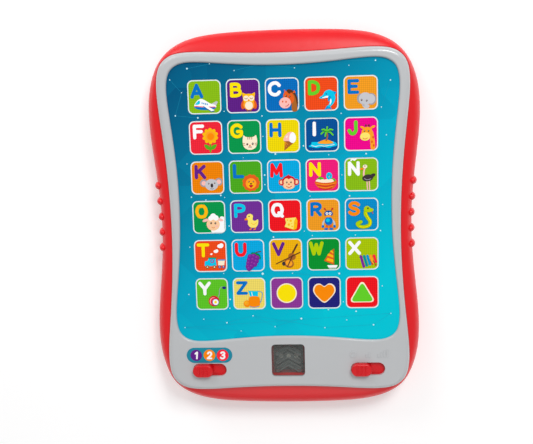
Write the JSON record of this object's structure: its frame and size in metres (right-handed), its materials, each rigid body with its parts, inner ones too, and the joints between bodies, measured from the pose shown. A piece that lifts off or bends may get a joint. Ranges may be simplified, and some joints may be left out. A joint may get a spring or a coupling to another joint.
{
  "type": "kids toy tablet",
  "caption": "Child's learning tablet toy with a bowed red case, grey bezel, picture keys over rubber domes, light window, two slide knobs, speaker and hinged battery door.",
  "frame": {"origin": "middle of the footprint, on the flat back face that rests on the table", "axes": "+Z out of the screen, +Y towards the top edge, +X to the right seen from the front; +Y is the longest extent and +Z the shortest"},
  "size_m": [0.1708, 0.2422, 0.0292],
  "materials": {
    "red_case": "satin moulded ABS, saturated red",
    "grey_bezel": "polished moulded ABS, light grey",
    "printed_film": "glossy printed polyester film, blue to cyan",
    "printed_key": "glossy printed film over a hard key cap, one colour field each",
    "support_plastic": "natural moulded polystyrene",
    "silicone": "translucent grey silicone",
    "circuit_board": "brown phenolic board",
    "dark_board": "black solder mask",
    "flex": "flat flexible cable",
    "wire": "PVC insulated hook-up wire",
    "speaker_steel": "zinc-plated steel",
    "speaker_paper": "pressed paper cone",
    "magnet": "ferrite magnet",
    "clear_window": "clear polished polycarbonate",
    "clear_guide": "smoky clear acrylic light guide",
    "led": "clear epoxy LED",
    "label": "glossy printed label",
    "knob_red": "glossy moulded ABS, bright red",
    "switch_body": "black moulded nylon",
    "screw_steel": "zinc-plated steel",
    "contact_metal": "nickel-plated spring steel",
    "cell_jacket": "printed metal-look battery jacket"
  },
  "bodies": {
    "root": {"back_housing": "red_case", "front_housing": "red_case", "front_bezel": "grey_bezel", "overlay_film": "printed_film", "key_support_plate": "support_plastic", "dome_mat": "silicone", "keypad_board": "circuit_board", "main_board": "circuit_board", "ribbon_cable": "flex", "wiring_leads": "wire", "speaker_basket": "speaker_steel", "speaker_cone": "speaker_paper", "speaker_magnet": "magnet", "speaker_clamp": "support_plastic", "window_lens": "clear_window", "light_guide": "clear_guide", "led_board": "dark_board", "indicator_leds": "led", "mode_label": "label", "mode_switch": "switch_body", "volume_switch": "switch_body", "battery_cells": "cell_jacket", "battery_contacts": "contact_metal", "battery_springs": "contact_metal", "housing_screws": "screw_steel", "inner_screws": "screw_steel"},
    "mode_knob": {"mode_knob": "knob_red"},
    "volume_knob": {"volume_knob": "knob_red"},
    "battery_door": {"battery_door": "red_case"},
    "battery_door_screw": {"battery_door_screw": "screw_steel"},
    "key_a": {"key_a": "printed_key"},
    "key_b": {"key_b": "printed_key"},
    "key_c": {"key_c": "printed_key"},
    "key_d": {"key_d": "printed_key"},
    "key_e": {"key_e": "printed_key"},
    "key_f": {"key_f": "printed_key"},
    "key_g": {"key_g": "printed_key"},
    "key_h": {"key_h": "printed_key"},
    "key_i": {"key_i": "printed_key"},
    "key_j": {"key_j": "printed_key"},
    "key_k": {"key_k": "printed_key"},
    "key_l": {"key_l": "printed_key"},
    "key_m": {"key_m": "printed_key"},
    "key_n": {"key_n": "printed_key"},
    "key_enye": {"key_enye": "printed_key"},
    "key_o": {"key_o": "printed_key"},
    "key_p": {"key_p": "printed_key"},
    "key_q": {"key_q": "printed_key"},
    "key_r": {"key_r": "printed_key"},
    "key_s": {"key_s": "printed_key"},
    "key_t": {"key_t": "printed_key"},
    "key_u": {"key_u": "printed_key"},
    "key_v": {"key_v": "printed_key"},
    "key_w": {"key_w": "printed_key"},
    "key_x": {"key_x": "printed_key"},
    "key_y": {"key_y": "printed_key"},
    "key_z": {"key_z": "printed_key"},
    "key_circle": {"key_circle": "printed_key"},
    "key_heart": {"key_heart": "printed_key"},
    "key_triangle": {"key_triangle": "printed_key"}
  },
  "joints": [
    {"name": "key_a_press", "type": "slide", "parent": "root", "child": "key_a", "axis": [0, 0, -1], "range_m": [0, 0.0006], "stiffness_N_per_m": 500, "springref_m": -0.001},
    {"name": "key_b_press", "type": "slide", "parent": "root", "child": "key_b", "axis": [0, 0, -1], "range_m": [0, 0.0006], "stiffness_N_per_m": 500, "springref_m": -0.001},
    {"name": "key_c_press", "type": "slide", "parent": "root", "child": "key_c", "axis": [0, 0, -1], "range_m": [0, 0.0006], "stiffness_N_per_m": 500, "springref_m": -0.001},
    {"name": "key_d_press", "type": "slide", "parent": "root", "child": "key_d", "axis": [0, 0, -1], "range_m": [0, 0.0006], "stiffness_N_per_m": 500, "springref_m": -0.001},
    {"name": "key_e_press", "type": "slide", "parent": "root", "child": "key_e", "axis": [0, 0, -1], "range_m": [0, 0.0006], "stiffness_N_per_m": 500, "springref_m": -0.001},
    {"name": "key_f_press", "type": "slide", "parent": "root", "child": "key_f", "axis": [0, 0, -1], "range_m": [0, 0.0006], "stiffness_N_per_m": 500, "springref_m": -0.001},
    {"name": "key_g_press", "type": "slide", "parent": "root", "child": "key_g", "axis": [0, 0, -1], "range_m": [0, 0.0006], "stiffness_N_per_m": 500, "springref_m": -0.001},
    {"name": "key_h_press", "type": "slide", "parent": "root", "child": "key_h", "axis": [0, 0, -1], "range_m": [0, 0.0006], "stiffness_N_per_m": 500, "springref_m": -0.001},
    {"name": "key_i_press", "type": "slide", "parent": "root", "child": "key_i", "axis": [0, 0, -1], "range_m": [0, 0.0006], "stiffness_N_per_m": 500, "springref_m": -0.001},
    {"name": "key_j_press", "type": "slide", "parent": "root", "child": "key_j", "axis": [0, 0, -1], "range_m": [0, 0.0006], "stiffness_N_per_m": 500, "springref_m": -0.001},
    {"name": "key_k_press", "type": "slide", "parent": "root", "child": "key_k", "axis": [0, 0, -1], "range_m": [0, 0.0006], "stiffness_N_per_m": 500, "springref_m": -0.001},
    {"name": "key_l_press", "type": "slide", "parent": "root", "child": "key_l", "axis": [0, 0, -1], "range_m": [0, 0.0006], "stiffness_N_per_m": 500, "springref_m": -0.001},
    {"name": "key_m_press", "type": "slide", "parent": "root", "child": "key_m", "axis": [0, 0, -1], "range_m": [0, 0.0006], "stiffness_N_per_m": 500, "springref_m": -0.001},
    {"name": "key_n_press", "type": "slide", "parent": "root", "child": "key_n", "axis": [0, 0, -1], "range_m": [0, 0.0006], "stiffness_N_per_m": 500, "springref_m": -0.001},
    {"name": "key_enye_press", "type": "slide", "parent": "root", "child": "key_enye", "axis": [0, 0, -1], "range_m": [0, 0.0006], "stiffness_N_per_m": 500, "springref_m": -0.001},
    {"name": "key_o_press", "type": "slide", "parent": "root", "child": "key_o", "axis": [0, 0, -1], "range_m": [0, 0.0006], "stiffness_N_per_m": 500, "springref_m": -0.001},
    {"name": "key_p_press", "type": "slide", "parent": "root", "child": "key_p", "axis": [0, 0, -1], "range_m": [0, 0.0006], "stiffness_N_per_m": 500, "springref_m": -0.001},
    {"name": "key_q_press", "type": "slide", "parent": "root", "child": "key_q", "axis": [0, 0, -1], "range_m": [0, 0.0006], "stiffness_N_per_m": 500, "springref_m": -0.001},
    {"name": "key_r_press", "type": "slide", "parent": "root", "child": "key_r", "axis": [0, 0, -1], "range_m": [0, 0.0006], "stiffness_N_per_m": 500, "springref_m": -0.001},
    {"name": "key_s_press", "type": "slide", "parent": "root", "child": "key_s", "axis": [0, 0, -1], "range_m": [0, 0.0006], "stiffness_N_per_m": 500, "springref_m": -0.001},
    {"name": "key_t_press", "type": "slide", "parent": "root", "child": "key_t", "axis": [0, 0, -1], "range_m": [0, 0.0006], "stiffness_N_per_m": 500, "springref_m": -0.001},
    {"name": "key_u_press", "type": "slide", "parent": "root", "child": "key_u", "axis": [0, 0, -1], "range_m": [0, 0.0006], "stiffness_N_per_m": 500, "springref_m": -0.001},
    {"name": "key_v_press", "type": "slide", "parent": "root", "child": "key_v", "axis": [0, 0, -1], "range_m": [0, 0.0006], "stiffness_N_per_m": 500, "springref_m": -0.001},
    {"name": "key_w_press", "type": "slide", "parent": "root", "child": "key_w", "axis": [0, 0, -1], "range_m": [0, 0.0006], "stiffness_N_per_m": 500, "springref_m": -0.001},
    {"name": "key_x_press", "type": "slide", "parent": "root", "child": "key_x", "axis": [0, 0, -1], "range_m": [0, 0.0006], "stiffness_N_per_m": 500, "springref_m": -0.001},
    {"name": "key_y_press", "type": "slide", "parent": "root", "child": "key_y", "axis": [0, 0, -1], "range_m": [0, 0.0006], "stiffness_N_per_m": 500, "springref_m": -0.001},
    {"name": "key_z_press", "type": "slide", "parent": "root", "child": "key_z", "axis": [0, 0, -1], "range_m": [0, 0.0006], "stiffness_N_per_m": 500, "springref_m": -0.001},
    {"name": "key_circle_press", "type": "slide", "parent": "root", "child": "key_circle", "axis": [0, 0, -1], "range_m": [0, 0.0006], "stiffness_N_per_m": 500, "springref_m": -0.001},
    {"name": "key_heart_press", "type": "slide", "parent": "root", "child": "key_heart", "axis": [0, 0, -1], "range_m": [0, 0.0006], "stiffness_N_per_m": 500, "springref_m": -0.001},
    {"name": "key_triangle_press", "type": "slide", "parent": "root", "child": "key_triangle", "axis": [0, 0, -1], "range_m": [0, 0.0006], "stiffness_N_per_m": 500, "springref_m": -0.001},
    {"name": "mode_knob_slide", "type": "slide", "parent": "root", "child": "mode_knob", "axis": [1, 0, 0], "range_m": [0, 0.0084]},
    {"name": "volume_knob_slide", "type": "slide", "parent": "root", "child": "volume_knob", "axis": [1, 0, 0], "range_m": [0, 0.0084]},
    {"name": "battery_door_hinge", "type": "hinge", "parent": "root", "child": "battery_door", "pos_m": [0, -0.0479, 0.0014], "axis": [-1, 0, 0], "range_deg": [0, 65]},
    {"name": "battery_door_screw_turn", "type": "hinge", "parent": "battery_door", "child": "battery_door_screw", "pos_m": [0, -0.0078, 0.004], "axis": [0, 0, 1], "continuous": true}
  ]
}
